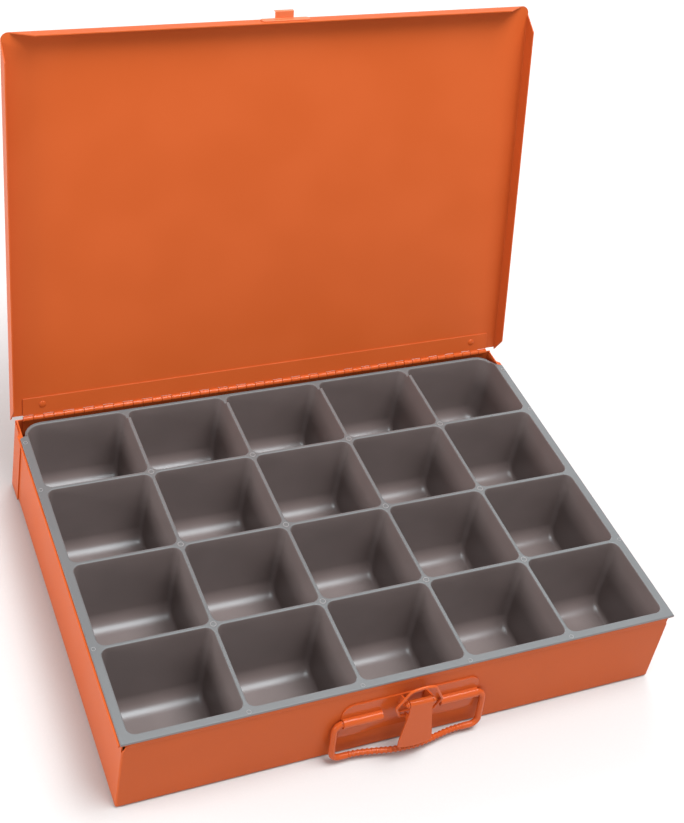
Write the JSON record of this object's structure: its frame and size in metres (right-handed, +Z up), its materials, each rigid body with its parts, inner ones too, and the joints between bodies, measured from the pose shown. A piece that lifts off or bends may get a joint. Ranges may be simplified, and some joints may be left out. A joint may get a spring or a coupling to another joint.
{
  "type": "steel compartment case",
  "caption": "Shallow folded-steel case with a piano-hinged lid, draw latch, swinging wire handle and a lift-out moulded tray of square compartments.",
  "frame": {"origin": "centre of the underside of the base", "axes": "+X to the right seen from the latch side, +Y from the latch side to the hinge side, +Z up"},
  "size_m": [0.44, 0.417, 0.385],
  "materials": {
    "painted_steel": "semi-gloss orange enamel",
    "grey_plastic": "satin moulded plastic with a slight sheen"
  },
  "bodies": {
    "base": {"base_pan": "painted_steel", "back_panel": "painted_steel", "base_hinge_leaf": "painted_steel", "hinge_pin": "painted_steel", "base_leaf_rivets": "painted_steel", "latch_plate": "painted_steel", "lever_pin": "painted_steel"},
    "lid": {"lid_pan": "painted_steel", "lid_hinge_leaf": "painted_steel", "lid_leaf_rivets": "painted_steel", "lid_strike": "painted_steel"},
    "insert": {"compartment_insert": "grey_plastic"},
    "handle": {"bail_handle": "painted_steel"},
    "lever": {"latch_lever": "painted_steel"},
    "loop": {"latch_loop": "painted_steel"}
  },
  "joints": [
    {"name": "lid_hinge", "type": "hinge", "parent": "base", "child": "lid", "pos_m": [0, 0.15586, 0.07201], "axis": [-1, 0, 0], "range_deg": [-105, 0]},
    {"name": "insert_lift", "type": "slide", "parent": "base", "child": "insert", "axis": [0, 0, 1], "range_m": [0, 0.09]},
    {"name": "handle_swing", "type": "hinge", "parent": "base", "child": "handle", "pos_m": [0, -0.16048, 0.0375], "axis": [1, 0, 0], "range_deg": [-82, 7]},
    {"name": "lever_pivot", "type": "hinge", "parent": "base", "child": "lever", "pos_m": [0, -0.17, 0.056], "axis": [-1, 0, 0], "range_deg": [0, 140]},
    {"name": "loop_pivot", "type": "hinge", "parent": "lever", "child": "loop", "pos_m": [0, -0.16847, 0.04251], "axis": [-1, 0, 0], "range_deg": [-140, 0]}
  ],
  "couplings": [
    {"joint": "loop_pivot", "follows": "lever_pivot", "ratio": -1}
  ]
}
